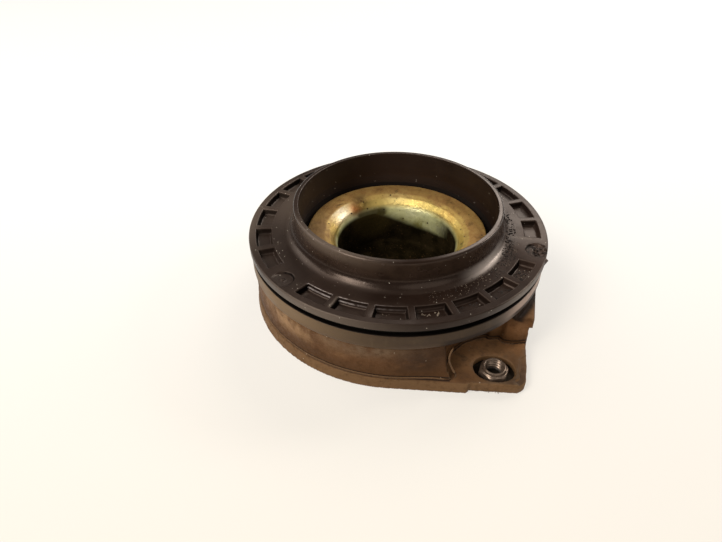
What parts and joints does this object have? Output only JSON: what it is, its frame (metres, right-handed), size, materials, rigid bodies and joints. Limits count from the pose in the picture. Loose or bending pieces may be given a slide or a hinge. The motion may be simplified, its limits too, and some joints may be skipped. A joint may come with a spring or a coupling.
{
  "type": "strut mount",
  "caption": "Strut top mount: eared rubber body, plated steel cup for the damper rod, and a ball thrust bearing that carries a flanged spring seat.",
  "frame": {"origin": "centre of the bolting face, on the bearing axis", "axes": "+Z along the bearing axis towards the wheel side, X through the two fixing nuts"},
  "size_m": [0.1636, 0.13, 0.0474],
  "materials": {
    "rubber": "dusty brown moulded rubber",
    "plate_steel": "plain pressed steel",
    "nut_steel": "dull plated steel",
    "zinc_yellow": "yellow zinc plating on pressed steel",
    "cap_plastic": "dusty moulded plastic",
    "race_steel": "ground steel",
    "seat_plastic": "satin moulded plastic, dusty",
    "seal_rubber": "black rubber",
    "cage_plastic": "natural moulded plastic",
    "ball_steel": "polished steel"
  },
  "bodies": {
    "mount": {"rubber_body": "rubber", "armature_plate": "plate_steel", "weld_nuts": "nut_steel", "inner_cup": "zinc_yellow", "bearing_cap": "cap_plastic", "cap_race": "race_steel"},
    "seat": {"spring_seat": "seat_plastic", "seat_race": "race_steel", "outer_seal": "seal_rubber", "inner_seal": "seal_rubber"},
    "cage": {"ball_cage": "cage_plastic", "ball_1": "ball_steel", "ball_2": "ball_steel", "ball_3": "ball_steel", "ball_4": "ball_steel", "ball_5": "ball_steel", "ball_6": "ball_steel", "ball_7": "ball_steel", "ball_8": "ball_steel", "ball_9": "ball_steel", "ball_10": "ball_steel", "ball_11": "ball_steel", "ball_12": "ball_steel", "ball_13": "ball_steel", "ball_14": "ball_steel", "ball_15": "ball_steel", "ball_16": "ball_steel", "ball_17": "ball_steel", "ball_18": "ball_steel", "ball_19": "ball_steel", "ball_20": "ball_steel", "ball_21": "ball_steel", "ball_22": "ball_steel", "ball_23": "ball_steel", "ball_24": "ball_steel", "ball_25": "ball_steel", "ball_26": "ball_steel", "ball_27": "ball_steel", "ball_28": "ball_steel", "ball_29": "ball_steel", "ball_30": "ball_steel"}
  },
  "joints": [
    {"name": "seat_spin", "type": "hinge", "parent": "mount", "child": "seat", "pos_m": [0, 0, 0.0259], "axis": [0, 0, 1], "continuous": true},
    {"name": "cage_spin", "type": "hinge", "parent": "mount", "child": "cage", "pos_m": [0, 0, 0.0259], "axis": [0, 0, 1], "continuous": true}
  ],
  "couplings": [
    {"joint": "cage_spin", "follows": "seat_spin", "ratio": 0.5}
  ]
}
